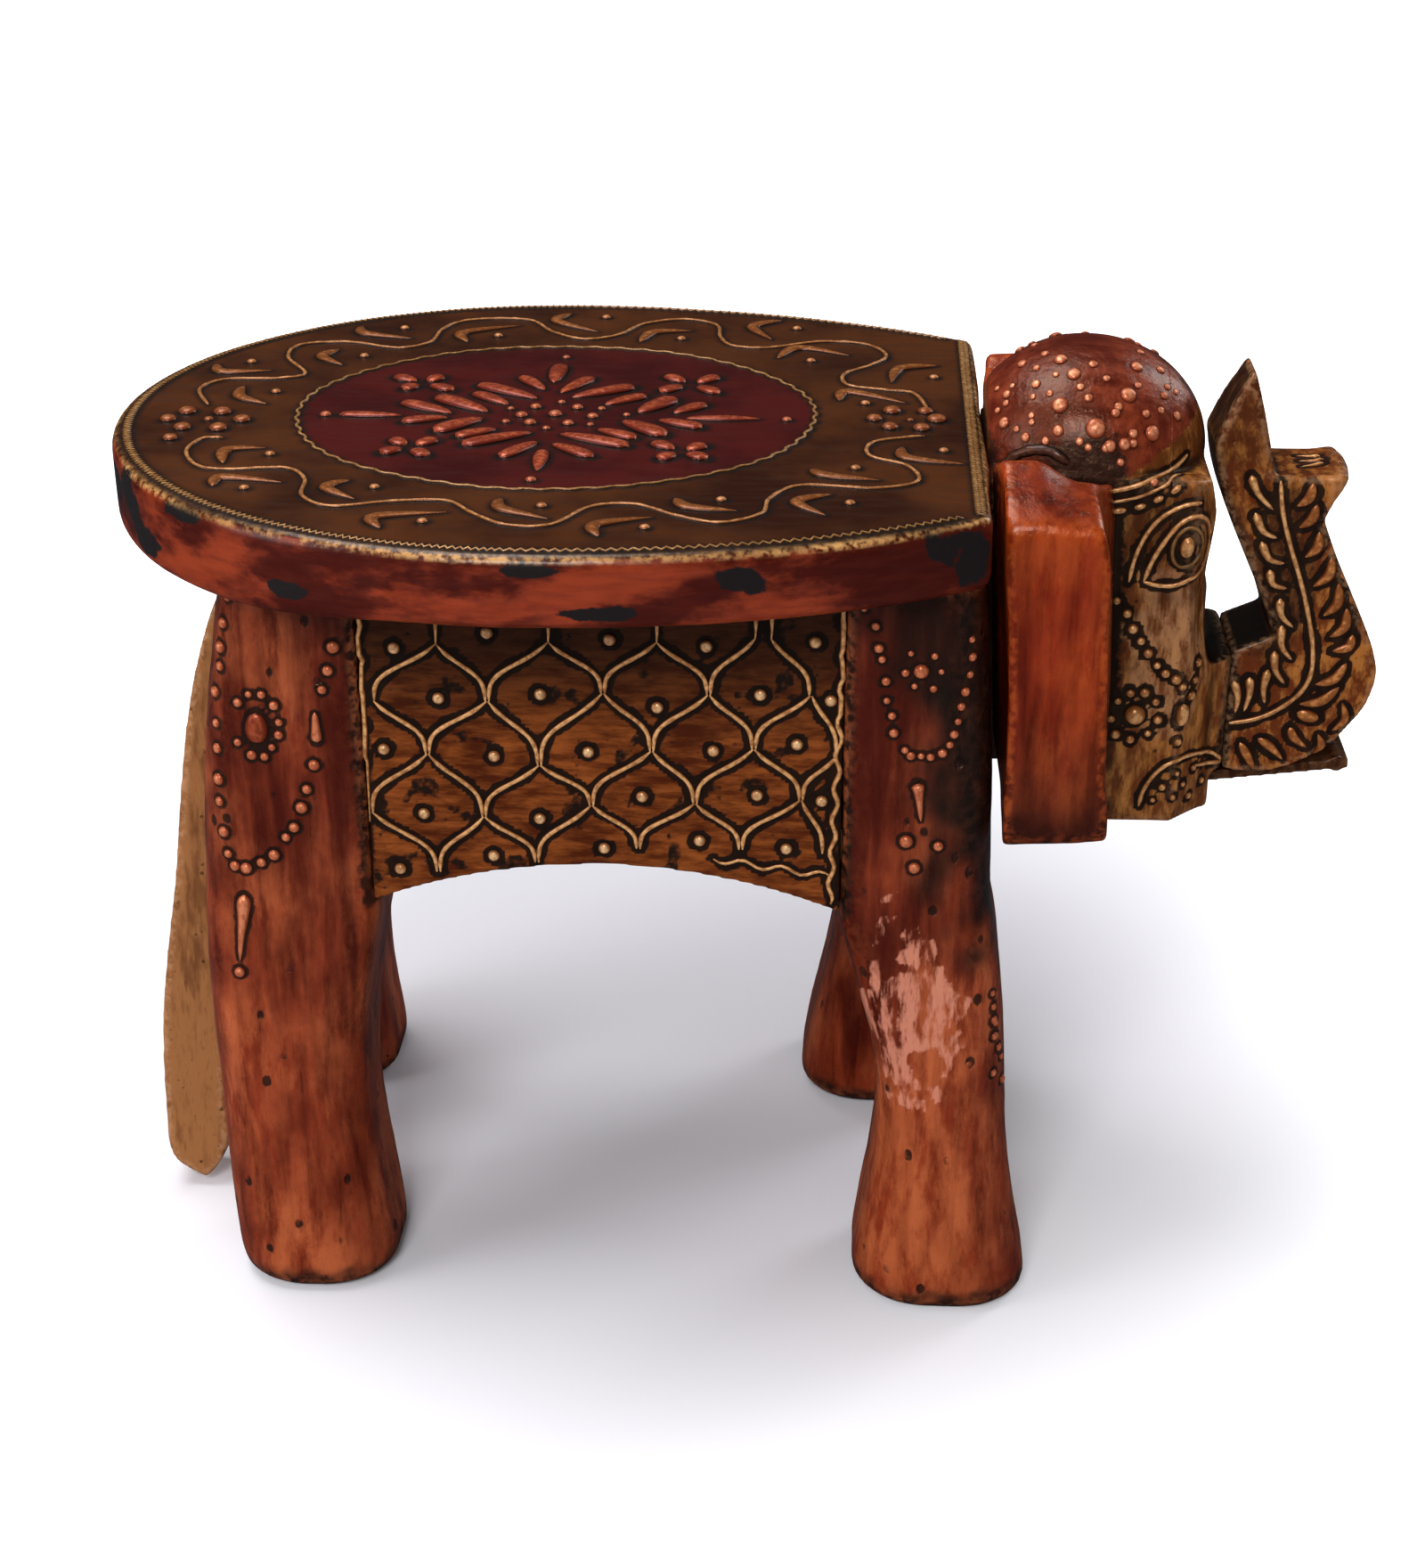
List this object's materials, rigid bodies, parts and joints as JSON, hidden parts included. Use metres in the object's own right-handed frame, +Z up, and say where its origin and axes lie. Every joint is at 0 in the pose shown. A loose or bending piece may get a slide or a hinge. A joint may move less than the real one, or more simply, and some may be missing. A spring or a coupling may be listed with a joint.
{
  "type": "carved elephant stool",
  "caption": "Low wooden stool carved as an elephant, with an oval seat cut straight in front, posts for legs, arched side rails, ears, raised trunk and tail.",
  "frame": {"origin": "on the floor under the middle of the stool, measured from the back of the tail to the bend of the trunk", "axes": "+X to the elephant's head, +Y to its left, +Z up out of the seat"},
  "size_m": [0.2887, 0.174, 0.2193],
  "materials": {
    "painted_seat": "satin lacquer over embossed olive brown paint, with a maroon medallion, copper and gold relief",
    "copper_lacquer": "gloss red copper lacquer, rubbed through to orange and black along the edges",
    "antique_gold": "antique gold paint rubbed over black, with raised lines and beads",
    "dark_stain": "dark brown stain, matt",
    "bare_wood": "turned hardwood, uncoated"
  },
  "bodies": {
    "root": {"seat_plank": "painted_seat", "side_rail_right": "antique_gold", "side_rail_left": "antique_gold", "rump_rail": "copper_lacquer", "chest_rail": "dark_stain", "neck_block": "dark_stain", "leg_front_right": "copper_lacquer", "leg_front_left": "copper_lacquer", "leg_rear_right": "copper_lacquer", "leg_rear_left": "copper_lacquer", "head_block": "copper_lacquer", "face_block": "antique_gold", "ear_right": "copper_lacquer", "ear_left": "copper_lacquer", "trunk": "antique_gold", "lower_lip": "antique_gold", "tail": "antique_gold", "seat_dowels": "bare_wood", "rail_dowels": "bare_wood", "neck_dowels": "bare_wood", "face_dowels": "bare_wood", "trunk_dowel": "bare_wood", "ear_dowels": "bare_wood", "tail_dowel": "bare_wood"}
  },
  "joints": []
}
